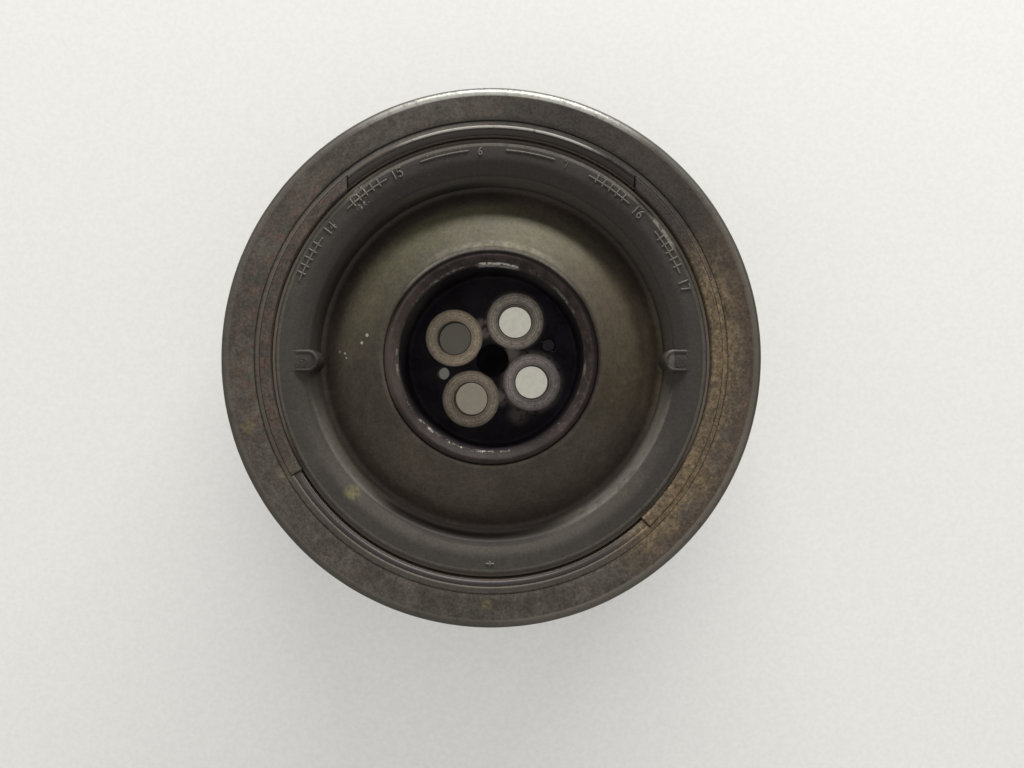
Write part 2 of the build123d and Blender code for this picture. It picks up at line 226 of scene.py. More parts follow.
def arc_block(line, start, end, slants, steps, edge, form=None):
    """Closed block: an outline carried along an arc of the clock. Each end leans by its slant between the
    outline's inner and outer radius, and draws in towards the outline's middle along a quarter circle."""
    middle = (line.min(0) + line.max(0)) / 2
    half_width = (line[:, 0].max() - line[:, 0].min()) / 2
    reach = np.degrees(edge / middle[0])
    quarter = reach * (1 - np.cos(np.linspace(0, pi / 2, 6)))
    body = np.linspace(start + reach, end - reach, steps)
    angle = np.concatenate([start + quarter[:-1], body, (end - quarter[:-1])[::-1]])
    inside = np.minimum(np.minimum(angle - start, end - angle) / reach, 1)
    inset = edge * (1 - np.sqrt(np.maximum(1 - (1 - inside) ** 2, 0)))[:, None]
    outward = line - middle
    shrink = 1 - inset / np.maximum(np.abs(outward).max(0).min(), 1e-9)
    radius = middle[0] + outward[None, :, 0] * shrink
    height = middle[1] + outward[None, :, 1] * shrink
    lean = (radius - middle[0]) / half_width
    share = ((angle - start) / (end - start))[:, None]
    turn = angle[:, None] - lean * (slants[0] * (1 - share) + slants[1] * share)
    if form:
        height = height + form(*clock(radius, turn), height)
    return capped(np.stack([*clock(radius, turn), height], 2))


def stroke(path, width, height, base):
    """Low raised line along (x, y) points: a half ellipse carried along the path, drawn in to a point at both
    ends, its foot sunk a little under the base height."""
    path = np.asarray(path, float)
    along = np.gradient(path, axis=0)
    along /= np.linalg.norm(along, axis=1)[:, None]
    reach = np.array([1, 0.7, 0])[:, None] * width / 2
    size = np.concatenate([[0.02, 0.7, 1], np.ones(len(path)), [1, 0.7, 0.02]])[:, None]
    path = np.vstack([path[:1] - along[:1] * reach, path, path[-1:] + along[-1:] * reach[::-1]])
    along = np.vstack([np.repeat(along[:1], 3, 0), along, np.repeat(along[-1:], 3, 0)])
    side = np.stack([-along[:, 1], along[:, 0]], 1)
    turn = np.linspace(0, pi, 6)[None]
    across = np.cos(turn) * size * width / 2
    rise = np.sin(turn) * size * height
    flat = path[:, None, :] + side[:, None, :] * across[:, :, None]
    points = np.dstack([flat, (base + rise)[:, :, None]])
    sunk = points[:, [-1, 0]].copy()
    sunk[:, :, 2] = base - height / 2
    return capped(np.concatenate([points, sunk], 1))


def joined(*parts):
    """Several (points, faces) sets as one."""
    points, faces, count = [], [], 0
    for part_points, part_faces in parts:
        points.append(part_points)
        faces += [[corner + count for corner in face] for face in part_faces]
        count += len(part_points)
    return np.vstack(points), faces


def placed(name, data):
    """New object of this data, linked into the scene."""
    thing = bpy.data.objects.new(name, data)
    bpy.context.scene.collection.objects.link(thing)
    return thing


def closed_object(name, points, faces, merge):
    """Object of a closed shape: points nearer than merge become one, and the faces turn outwards."""
    mesh = bpy.data.meshes.new(name)
    mesh.from_pydata(points.tolist(), [], faces)
    work = bmesh.new()
    work.from_mesh(mesh)
    bmesh.ops.remove_doubles(work, verts=work.verts, dist=merge)
    bmesh.ops.recalc_face_normals(work, faces=work.faces)
    work.to_mesh(mesh)
    work.free()
    return placed(name, mesh)


def combined(operation, base, *others):
    """Base shape joined with others ("UNION") or cut by them ("DIFFERENCE")."""
    things = [closed_object("work", points, faces, 1e-5) for points, faces in (base, *others)]
    for other in things[1:]:
        modifier = things[0].modifiers.new("work", "BOOLEAN")
        modifier.operation = operation
        modifier.solver = "EXACT"
        modifier.object = other
    result = bpy.data.meshes.new_from_object(things[0].evaluated_get(bpy.context.evaluated_depsgraph_get()))
    points = np.empty(len(result.vertices) * 3)
    result.vertices.foreach_get("co", points)
    faces = [list(face.vertices) for face in result.polygons]
    for thing in things:
        bpy.data.objects.remove(thing)
    bpy.data.meshes.remove(result)
    return points.reshape(-1, 3), faces


def piece(name, shape, material, slot, node, sharp=35):
    """Smooth object of a shape in millimetres, riding on the damper in place of a CAD node; edges over sharp
    degrees stay sharp."""
    points, faces = shape
    thing = closed_object(name, points * MM, faces, 1e-7)
    mesh = thing.data
    mesh.polygons.foreach_set("use_smooth", np.ones(len(mesh.polygons), bool))
    mesh.set_sharp_from_angle(angle=radians(sharp))
    mesh.materials.append(material)
    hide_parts(node)
    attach(thing, "root")


def dress(node, material):
    """Gives a CAD node's mesh this material in all its slots."""
    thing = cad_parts[node]
    if not thing.data.materials:
        thing.data.materials.append(material)
    for slot in thing.material_slots:
        slot.material = material


# Finishes

def scaled(colour, factor):
    """Colour with each of its parts times a factor."""
    return tuple(part * factor for part in colour)


def add_node(tree, kind, inputs, **settings):
    """One shader node with its settings, each input linked to an output or set to a value."""
    made = tree.nodes.new("ShaderNode" + kind)
    for name, value in settings.items():
        setattr(made, name, value)
    for key, value in inputs.items():
        if isinstance(value, bpy.types.NodeSocket):
            tree.links.new(value, made.inputs[key])
        else:
            made.inputs[key].default_value = value
    return made


class Finish:
    """Material being made: each method adds nodes and gives back their output. Places are in millimetres."""

    def __init__(self, name):
        self.material = bpy.data.materials.new(name)
        self.material.use_nodes = True
        self.tree = self.material.node_tree
        self.tree.nodes.clear()
        spot = self.node("TexCoord", {}).outputs["Object"]
        self.place = self.node("VectorMath", {0: spot, "Scale": 1 / MM}, operation="SCALE").outputs["Vector"]
        parts = self.node("SeparateXYZ", {0: self.place}).outputs
        self.x, self.y, self.height = parts[0], parts[1], parts[2]
        self.flat = self.node("CombineXYZ", {0: self.x, 1: self.y}).outputs[0]
        self.radius = self.node("VectorMath", {0: self.flat}, operation="LENGTH").outputs["Value"]
        self.outward = self.node("VectorMath", {0: self.flat}, operation="NORMALIZE").outputs["Vector"]

    def node(self, kind, inputs, **settings):
        """One node in the material's tree."""
        return add_node(self.tree, kind, inputs, **settings)

    def math(self, operation, a, b):
        """Arithmetic on two values."""
        return self.node("Math", {0: a, 1: b}, operation=operation).outputs[0]

    def plus(self, a, b, share):
        """Value a with a share of value b added."""
        return self.math("ADD", a, self.math("MULTIPLY", b, share))

    def noise(self, size, seed, detail=4.0, rough=0.55):
        """Fractal noise from 0 to 1 whose largest lumps are about size across."""
        inputs = {"Vector": self.place, "W": seed, "Scale": 1 / size, "Detail": detail, "Roughness": rough}
        return self.node("TexNoise", inputs, noise_dimensions="4D").outputs[0]

    def cells(self, size):
        """Distance to the nearest of scattered points about size apart, from 0 at a point."""
        return self.node("TexVoronoi", {"Vector": self.place, "Scale": 1 / size}).outputs["Distance"]

    def rise(self, value, low, high):
        """0 under low and 1 over high, smooth between; low over high turns it round."""
        inputs = {"Value": value, "From Min": low, "From Max": high, "To Min": 0.0, "To Max": 1.0}
        if low > high:
            inputs.update({"From Min": high, "From Max": low, "To Min": 1.0, "To Max": 0.0})
        return self.node("MapRange", inputs, interpolation_type="SMOOTHSTEP").outputs[0]

    def past(self, low, high):
        """0 within the low radius and 1 past the high one, or the other way round where low is over high."""
        return self.rise(self.radius, low, high)

    def above(self, low, high):
        """0 under the low height and 1 above the high one, or the other way round where low is over high."""
        return self.rise(self.height, low, high)

    def ring(self, low, high, soft):
        """1 between two radii, falling to 0 over soft on both sides."""
        return self.times(self.past(low - soft, low), self.past(high + soft, high))

    def sector(self, angle, half, soft):
        """1 within half degrees of a clock angle, falling to 0 over soft degrees more."""
        direction = (sin(radians(angle)), cos(radians(angle)), 0)
        inputs = {0: self.outward, 1: direction}
        near = self.node("VectorMath", inputs, operation="DOT_PRODUCT").outputs["Value"]
        return self.rise(near, cos(radians(min(half + soft, 180))), cos(radians(half)))

    def sectors(self, *parts):
        """Largest of several sectors, each (angle, half, soft)."""
        return self.most(*(self.sector(*part) for part in parts))

    def away(self, x, y):
        """Distance from the line through (x, y) along the axis."""
        return self.node("VectorMath", {0: self.flat, 1: (x, y, 0)}, operation="DISTANCE").outputs["Value"]

    def spot(self, x, y, size, soft):
        """1 within size of a place in the face's plane, falling to 0 over soft more."""
        return self.rise(self.away(x, y), size + soft, size)

    def spots(self, *parts):
        """Largest of several spots, each (x, y, size, soft)."""
        return self.most(*(self.spot(*part) for part in parts))

    def times(self, *values):
        """Product of several values."""
        return reduce(lambda total, value: self.math("MULTIPLY", total, value), values)

    def most(self, *values):
        """Largest of several values."""
        return reduce(lambda total, value: self.math("MAXIMUM", total, value), values)

    def blend(self, share, a, b):
        """Colour a going over to colour b by a share from 0 to 1."""
        a, b = [value if isinstance(value, bpy.types.NodeSocket) else (*value[:3], 1) for value in (a, b)]
        return self.node("Mix", {0: share, 6: a, 7: b}, data_type="RGBA").outputs[2]

    def mix(self, share, a, b):
        """Value a going over to value b by a share from 0 to 1."""
        return self.node("Mix", {0: share, 2: a, 3: b}, data_type="FLOAT").outputs[0]

    def shade(self, colour, factor):
        """Colour times a value."""
        return self.node("VectorMath", {0: colour, "Scale": factor}, operation="SCALE").outputs["Vector"]

    def patches(self, size, seed, low, high, detail=6.0, rough=0.65):
        """Ragged patches: 0 where the noise is under low, 1 where it is over high."""
        return self.rise(self.noise(size, seed, detail, rough), low, high)

    def painted(self, base, *coats):
        """Colour under (share, colour) coats, each over the one before; a share may be several values that
        are multiplied."""
        for share, colour in coats:
            share = self.times(*share) if isinstance(share, tuple) else share
            base = self.blend(share, base, colour)
        return base

    def grained(self, colour, seed, size, low, high):
        """Colour with a fine grain: times low in the grain's dark places, times high in its light ones."""
        return self.shade(colour, self.mix(self.rise(self.noise(size, seed, 3, 0.7), 0.33, 0.67), low, high))

    def relief(self, *layers):
        """Bumped normal of (height, distance in millimetres) layers, one over the other."""
        normal = None
        for height, distance in layers:
            inputs = {"Height": height, "Distance": distance * MM, "Strength": 1.0}
            if normal:
                inputs["Normal"] = normal
            normal = self.node("Bump", inputs).outputs[0]
        return normal

    def surface(self, colour, roughness, metallic, normal, specular=0.5):
        """Ends the material with a principled shader and gives the material back."""
        inputs = {"Base Color": colour, "Roughness": roughness, "Metallic": metallic, "Normal": normal}
        shader = self.node("BsdfPrincipled", {**inputs, "Specular IOR Level": specular})
        self.node("OutputMaterial", {0: shader.outputs[0]})
        return self.material


def dish_finish(colours):
    """Unpainted pressed steel, olive at the top and grey brown below, with specks, stains and a dark valley;
    painted shadow darkens the valley's upper part, the crest and collar carry a painted highlight at the top
    and the collar painted shade at the bottom.
    """
    f = Finish("dish steel")
    olive, brown = colours.dish_steel, colours.dish_brown
    top = f.sector(0, 42, 62)
    base = f.painted(
        brown,
        (top, olive),
        (f.sector(82, 18, 32), (0.056, 0.044, 0.027)),
        # painted shadow: the valley's upper right darkened where the rubber's edge shades it
        ((f.sector(30, 14, 22), f.past(43.0, 45.5), 0.6), (0.026, 0.021, 0.016)),
        ((f.sector(330, 20, 20), 0.4), (0.052, 0.048, 0.032)),
        ((f.sector(135, 28, 20), f.past(40.0, 46.0), 0.5), (0.052, 0.04, 0.032)),
        ((f.sector(205, 16, 16), 0.5), (0.098, 0.08, 0.062)),
        ((f.patches(14, 1, 0.42, 0.62), 0.35), scaled(brown, 0.62)),
        ((f.patches(5.5, 2, 0.5, 0.7), 0.45, top), scaled(olive, 0.7)),
        ((f.patches(4.5, 3, 0.52, 0.7), 0.4, f.sector(180, 70, 60)), (0.11, 0.088, 0.062)),
        ((f.past(46.5, 50.5), 0.7), (0.062, 0.047, 0.039)),
        # painted shadow: the valley's upper left darkened where the rubber's edge shades it
        ((f.past(47.0, 49.5), f.sector(325, 34, 16), 0.65), (0.024, 0.019, 0.016)),
        ((f.past(52.6, 54.2), 0.8), (0.045, 0.035, 0.03)),
        ((f.past(47.0, 49.5), f.sector(92, 12, 18), 0.6), (0.105, 0.085, 0.06)),
        # painted shadow: more darkening of the valley at the upper right
        ((f.past(47.0, 49.5), f.sector(45, 12, 16), 0.5), (0.026, 0.02, 0.016)),
        ((f.past(38.5, 36.0), f.sectors((90, 24, 20), (45, 12, 20)), 0.4), (0.046, 0.037, 0.026)),
        ((f.past(38.5, 36.0), f.sector(300, 26, 20), 0.4), (0.05, 0.043, 0.034)),
    )
    crest = f.times(f.ring(32.6, 35.0, 0.9), f.patches(3.0, 6, 0.34, 0.6))
    collar = f.past(33.5, 32.9)
    stain = f.times(f.spot(-4.0, 39.5, 0.8, 2.2), f.patches(2.0, 7, 0.4, 0.55))
    specks = f.times(f.rise(f.cells(2.4), 0.12, 0.06), f.patches(12, 5, 0.44, 0.6))
    pale = f.times(f.rise(f.cells(3.7), 0.07, 0.035), f.patches(16, 12, 0.46, 0.62))
    white = f.spots(
        (-39.6, 4.6, 0.25, 0.35), (-37.9, 6.9, 0.3, 0.4), (-47.4, 2.1, 0.15, 0.3),
        (-45.5, 1.4, 0.2, 0.35), (-45.0, 0.1, 0.15, 0.25), (38.8, -39.5, 0.15, 0.3))
    base = f.painted(
        base,
        # painted highlight on the crest and collar at the top and painted shade on the collar at the bottom;
        # the crest's faint light patches all round are worn metal
        ((crest, f.mix(f.sector(0, 16, 24), 0.12, 0.5)), (0.15, 0.14, 0.112)),
        ((collar, f.sector(0, 34, 26), 0.9), (0.3, 0.28, 0.24)),
        ((collar, f.sector(165, 68, 30), 0.85), (0.024, 0.018, 0.015)),
        ((stain, 0.6), (0.045, 0.04, 0.026)),
        ((specks, 0.65), (0.02, 0.016, 0.012)),
        ((pale, 0.7), (0.16, 0.15, 0.12)),
        ((white, f.patches(0.5, 13, 0.3, 0.5)), (0.42, 0.41, 0.37)),
    )
    base = f.grained(f.grained(base, 14, 0.9, 0.82, 1.18), 15, 3.4, 0.9, 1.1)
    oily = f.rise(f.plus(f.radius, f.noise(7, 4), 3.0), 48.5, 53.0)
    rough = f.mix(oily, f.mix(f.noise(6, 8, 5), 0.55, 0.72), 0.42)
    normal = f.relief((f.noise(3.5, 9, 3), 0.05), (f.noise(0.8, 10, 4, 0.6), 0.02))
    return f.surface(base, rough, f.mix(crest, 0.05, 0.35), normal, specular=0.25)


def rusted(f, seed, base_colour, colours):
    """Colour of turned steel gone brown and where its dust lies: dark and light clouds, purple brown patches,
    a dark stretch at the upper right and golden and tan rust on the right, strongest next to the rubber."""
    inward = f.past(80.5, 70.0)
    dusty = f.noise(4.5, seed + 4, 6, 0.68)
    golden = f.times(f.sector(104, 33, 16), f.rise(f.plus(dusty, inward, 0.3), 0.5, 0.8))
    brightest = f.times(f.sectors((85, 7, 12), (128, 8, 8)), f.patches(2.6, seed + 5, 0.38, 0.6), inward)
    red_brown = f.times(f.sector(100, 30, 22), f.past(75.0, 78.5))
    base = f.painted(
        scaled(base_colour, 0.72),
        (f.patches(9, seed, 0.36, 0.64), scaled(base_colour, 1.22)),
        ((f.patches(6, seed + 1, 0.46, 0.66), 0.75), colours.rust),
        ((f.patches(7, seed + 2, 0.5, 0.7), 0.5), (0.062, 0.062, 0.047)),
        ((f.sector(282, 24, 22), f.past(80.0, 75.5), f.patches(3.6, seed + 3, 0.46, 0.6), 0.75),
         (0.092, 0.058, 0.045)),
        ((f.sector(48, 24, 38), 0.85), (0.029, 0.023, 0.018)),
        ((red_brown, 0.8), (0.066, 0.046, 0.034)),
        ((golden, f.mix(f.sector(84, 8, 14), 0.85, 0.62)), colours.tan_rust),
        ((brightest, 0.5), (0.21, 0.152, 0.08)),
    )
    yellow = f.spots((-1.3, -75.0, 0.8, 1.6), (-73.5, -21.2, 1.0, 2.4), (-61.5, -35.0, 1.5, 2.5))
    base = f.painted(
        base,
        ((yellow, f.patches(1.8, seed + 6, 0.35, 0.6), 0.7), (0.15, 0.125, 0.065)),
        ((f.patches(0.9, seed + 7, 0.62, 0.72, 4), 0.6), (0.018, 0.015, 0.012)),
        ((f.patches(1.1, seed + 8, 0.63, 0.73, 4), 0.35), (0.17, 0.145, 0.11)),
    )
    base = f.grained(f.grained(base, seed + 9, 0.75, 0.66, 1.34), seed + 11, 5.0, 0.88, 1.12)
    crusted = f.grained(base, seed + 10, 1.3, 0.5, 1.45)
    return f.blend(f.times(golden, 0.8), base, crusted), f.most(golden, brightest)


def pulley_finish(colours):
    """Rusty pulley: worn metal round the front corner, bright metal with a painted highlight at its top, a
    grimy seam that is darker at the top as painted shadow, a dark outline of painted shade on the corner's
    outer edge, grooves worn to dull steel.
    """
    f = Finish("pulley steel")
    base, rust = rusted(f, 11, colours.pulley_steel, colours)
    front = f.above(46.5, 47.5)
    corner = f.times(f.past(79.3, 79.9), front)
    worn = f.times(corner, f.patches(2.2, 25, 0.22, 0.5))
    # painted highlight: bright metal on the worn corner only at its top, where the lamp's highlight falls
    bare_and_highlight = f.times(worn, f.sector(2, 9, 28), f.mix(f.patches(1.1, 24, 0.3, 0.55), 0.45, 1.0))
    # dark seam at the carrier, darker at the top as painted shadow of the pulley's face edge; elsewhere grime
    joint_and_shadow = f.times(
        f.ring(71.5, 72.1, 0.25), f.mix(rust, 0.9, 0.15), front, f.mix(f.sector(2, 32, 34), 0.4, 1.0))
    # painted shade: the corner's outermost rounding darkened, most at the upper right, where it turns away
    # from the light
    edge = f.times(f.past(80.9, 81.6), f.above(45.2, 45.6), f.mix(f.sector(20, 64, 40), 0.45, 1.0))
    grooves = f.times(f.past(76.6, 77.2), f.above(46.2, 45.7), f.above(22.4, 22.9))
    base = f.painted(
        base,
        ((worn, 0.6), (0.11, 0.101, 0.084)),
        ((worn, f.sector(140, 22, 24), 0.5), (0.17, 0.15, 0.125)),
        (bare_and_highlight, (0.46, 0.455, 0.42)),
        (joint_and_shadow, (0.014, 0.013, 0.01)),
        ((edge, 0.85), (0.026, 0.024, 0.02)),
        ((grooves, 0.8), (0.11, 0.105, 0.1)),
        ((grooves, f.patches(3.5, 26, 0.5, 0.68), 0.7), (0.09, 0.058, 0.04)),
    )
    metal = f.most(f.times(bare_and_highlight, 0.55), f.times(grooves, 0.6))
    rough = f.mix(f.most(bare_and_highlight, grooves), f.mix(f.noise(4, 27, 5), 0.58, 0.76), 0.42)
    normal = f.relief((f.noise(1.8, 28, 6, 0.65), 0.06), (f.noise(0.5, 29, 4, 0.65), 0.03))
    return f.surface(base, rough, metal, normal, specular=0.3)


def carrier_finish(colours):
    """Rusty carrier ring: dark oily strip, the bead's crest worn bright with a painted highlight at the top,
    a grimy seam that is darker at the top as painted shadow, channel walls painted pale as painted light in
    the channel."""
    f = Finish("carrier steel")
    base, rust = rusted(f, 31, colours.carrier_steel, colours)
    front = f.above(46.5, 47.5)
    calm = f.mix(rust, 1.0, 0.15)
    strip = f.times(f.ring(67.0, 69.3, 0.25), front, calm)
    crest = f.times(f.ring(69.75, 71.1, 0.2), front)
    # painted highlight: the bead's crest made bright metal only at the top, where the lamp's highlight falls;
    # partly real wear
    polish_and_highlight = f.times(f.ring(69.8, 70.35, 0.18), front, f.sector(2, 16, 13), f.patches(2.5, 45, 0.25, 0.5))
    # dark seam at the pulley, darker at the top as painted shadow of the pulley's face edge; elsewhere grime
    joint_and_shadow = f.times(f.past(71.35, 71.6), f.above(49.0, 49.4), calm, f.mix(f.sector(2, 32, 34), 0.45, 1.0))
    lip = f.times(f.past(66.85, 66.75), f.above(47.0, 47.5))
    # painted light: pale channel walls stand in for light reaching into the narrow channel
    groove = f.times(f.ring(66.88, 67.72, 0.1), f.above(48.9, 48.3), f.above(43.0, 44.0))
    base = f.painted(
        base,
        ((strip, 0.85), (0.044, 0.038, 0.036)),
        ((strip, f.sectors((182, 40, 20), (48, 22, 18)), 0.6), (0.028, 0.023, 0.021)),
        ((crest, calm, f.sector(230, 110, 20), 0.6), (0.1, 0.088, 0.074)),
        ((polish_and_highlight, 0.9), (0.55, 0.54, 0.5)),
        ((joint_and_shadow, 0.9), (0.014, 0.013, 0.01)),
        ((lip, 0.8), (0.105, 0.088, 0.072)),
        ((lip, f.sectors((75, 30, 16), (288, 32, 16)), 0.85), (0.3, 0.255, 0.205)),
        ((groove, 0.9), (0.27, 0.23, 0.19)),
    )
    rough = f.mix(f.most(strip, polish_and_highlight), f.mix(f.noise(4, 46, 5), 0.58, 0.76), 0.4)
    normal = f.relief((f.noise(1.8, 47, 6, 0.65), 0.05), (f.noise(0.5, 48, 4, 0.65), 0.025))
    return f.surface(base, rough, f.times(polish_and_highlight, 0.7), normal, specular=0.3)


def stop_finish(colours):
    """Rough rust on the stop segments, dark brown at the upper ends and golden on the right."""
    f = Finish("stop rust")
    base, rust = rusted(f, 51, colours.stop_steel, colours)
    edges = f.most(f.past(70.15, 70.35), f.past(67.25, 67.0))
    base = f.painted(base, ((edges, f.mix(rust, 0.5, 0.2)), (0.02, 0.017, 0.014)))
    normal = f.relief((f.noise(1.6, 63, 6, 0.7), 0.12), (f.noise(0.5, 64, 4, 0.7), 0.05))
    return f.surface(base, f.mix(f.noise(3, 65, 5), 0.66, 0.85), 0.0, normal, specular=0.3)


def rubber_finish(colours):
    """Aged rubber: grey where it is worn, darker and purplish near the top and on the slope away from the
    bottom as painted shade, lighter on the lower slope as painted light, with painted highlights on the lip
    at the top and on the inner edge, painted shadow at the bottom under the hub and below the tongues, and
    chips and smears of paint and grease."""
    f = Finish("decoupler rubber")
    grey = colours.rubber
    top_face = f.above(46.8, 47.4)
    slope = f.times(f.past(55.8, 56.8), f.past(61.6, 57.8))
    low = f.sector(182, 46, 30)
    # painted highlight on the inner edge at the lower right and lower left
    edge = f.times(
        f.ring(54.8, 56.0, 0.7), f.most(f.sector(128, 16, 16), f.times(f.sector(235, 10, 14), 0.5)))
    base = f.painted(
        grey,
        ((f.patches(13, 71, 0.4, 0.62), 0.5), (0.045, 0.04, 0.037)),
        ((f.patches(7, 72, 0.5, 0.7), 0.5), scaled(grey, 1.22)),
        # painted shade: darker and purplish near the top, inside the flat's outer part
        ((f.sector(5, 34, 28), f.past(64.6, 62.8), 0.85), (0.034, 0.029, 0.028)),
        ((f.sector(112, 28, 18), 0.55), (0.036, 0.031, 0.028)),
        # painted shade: the slope darker everywhere but near the bottom
        ((slope, f.sector(0, 110, 40), 0.6), (0.036, 0.031, 0.028)),
        # painted light: the lower slope lighter, where it faces the lamp
        ((slope, low, f.patches(5, 73, 0.25, 0.55), 0.8), (0.072, 0.062, 0.052)),
        ((f.past(56.0, 55.2), 0.8), (0.05, 0.044, 0.036)),
        # painted highlight: a light line on the inner edge round the upper half
        ((f.ring(54.5, 55.5, 0.5), f.sector(30, 75, 30), 0.7), (0.11, 0.098, 0.084)),
        # painted shadow of the hub on the inner edge at the bottom
        ((f.ring(54.8, 56.4, 0.6), f.sector(194, 16, 20), 0.85), (0.018, 0.014, 0.012)),
        ((f.past(54.9, 54.3), f.sector(194, 18, 16), 0.7), (0.13, 0.112, 0.095)),
        ((f.past(55.2, 54.4), f.sector(308, 40, 20), 0.8), (0.02, 0.017, 0.014)),
        # painted shadow of the hub on the slope's foot at the bottom
        ((f.ring(55.0, 57.2, 0.8), f.sector(182, 12, 14), 0.6), (0.026, 0.022, 0.02)),
        ((f.ring(54.8, 57.0, 0.8), f.sector(285, 34, 20), 0.45), (0.03, 0.026, 0.022)),
        # painted highlight on the inner edge at the lower right
        ((f.past(55.4, 54.6), f.sector(135, 14, 14), 0.45), (0.11, 0.1, 0.082)),
        ((edge, f.patches(3, 74, 0.25, 0.5), 0.8), (0.135, 0.125, 0.108)),
    )
    lip = f.times(f.ring(64.6, 65.9, 0.22), f.patches(3.0, 75, 0.2, 0.5), top_face)
    # worn lip with a painted highlight, only at the top
    rubbed_and_highlight = f.times(f.ring(64.6, 65.15, 0.2), f.patches(3.0, 75, 0.2, 0.5), top_face, f.sector(12, 38, 22))
    # painted shadow: the lip's outer rounding darkened at the top, where the carrier's bead shades it
    outer = f.times(f.past(65.25, 65.6), f.sector(5, 34, 18))
    marks = f.times(f.above(49.05, 49.2), f.ring(60.8, 64.7, 0.15))
    border = f.times(f.above(49.0, 49.1), f.past(60.4, 59.8))
    chips = f.times(f.sector(320.5, 1.3, 1.8), f.ring(60.5, 65.6, 0.8), f.patches(1.0, 76, 0.53, 0.62))
    smear = f.times(f.spot(-42.3, -41.2, 0.9, 2.6), f.patches(2.2, 77, 0.36, 0.55))
    worn_lip = f.times(f.ring(64.5, 65.9, 0.2), f.sector(54, 2.5, 3.5), top_face)
    grease = f.times(f.spot(-39.5, 27.5, 0.8, 3.0), f.patches(3.2, 78, 0.45, 0.6))
    specks = f.times(f.rise(f.cells(4.1), 0.05, 0.025), f.patches(15, 79, 0.45, 0.6))
    base = f.painted(
        base,
        ((lip, 0.5), (0.12, 0.108, 0.092)),
        ((outer, 0.8), (0.04, 0.035, 0.03)),
        ((rubbed_and_highlight, 0.8), (0.14, 0.127, 0.11)),
        ((marks, 0.75), (0.15, 0.14, 0.12)),
        ((border, 0.45), (0.085, 0.079, 0.07)),
        # painted shadow below the tongues' borders
        ((border, f.rise(f.y, 0.5, -1.5), 0.85), (0.024, 0.02, 0.018)),
        ((chips, 0.85), (0.32, 0.3, 0.27)),
        ((smear, 0.8), (0.15, 0.132, 0.062)),
        ((worn_lip, f.patches(1.2, 80, 0.3, 0.55)), (0.34, 0.32, 0.27)),
        ((grease, 0.4), (0.075, 0.066, 0.05)),
        ((specks, 0.7), (0.2, 0.18, 0.15)),
    )
    base = f.grained(base, 81, 0.9, 0.86, 1.14)
    dimples = f.times(
        f.rise(f.cells(0.55), 0.3, 0.5), f.spots((57.8, -1.3, 1.5, 0.8), (-57.8, -1.3, 1.5, 0.8)))
    rough = f.mix(f.noise(5, 82, 5), 0.5, 0.66)
    normal = f.relief((f.noise(2.4, 83, 5, 0.6), 0.06), (dimples, 0.12), (f.noise(0.6, 84, 3), 0.02))
    return f.surface(base, rough, 0.0, normal, specular=0.25)


def bolt_seats(f):
    """Share and colour of the four bolt seats: bright ring marks and patches on a dull disc with a dark
    edge."""
    discs, colours = [], []
    for angle, bright, dull in SEATS:
        away = f.away(*map(float, clock(BOLT_CIRCLE, angle)))
        waves = {"W": f.times(away, 1.3), "Scale": 1.0, "Detail": 3.0}
        rings = f.rise(f.node("TexNoise", waves, noise_dimensions="1D").outputs[0], 0.35, 0.65)
        colour = f.blend(f.times(f.mix(rings, 0.1, 1.0), f.patches(1.8, angle, 0.2, 0.6)), dull, bright)
        colours.append(f.painted(
            f.grained(colour, angle + 1, 0.5, 0.72, 1.28),
            ((f.rise(away, 6.9, 6.4), 0.55), dull),
            ((f.rise(away, 8.75, 8.95), f.rise(away, 9.8, 9.6), 0.5), scaled(dull, 0.4)),
        ))
        discs.append(f.rise(away, 9.6, 9.4))
    return f.most(*discs), f.painted(colours[0], *zip(discs[1:], colours[1:]))


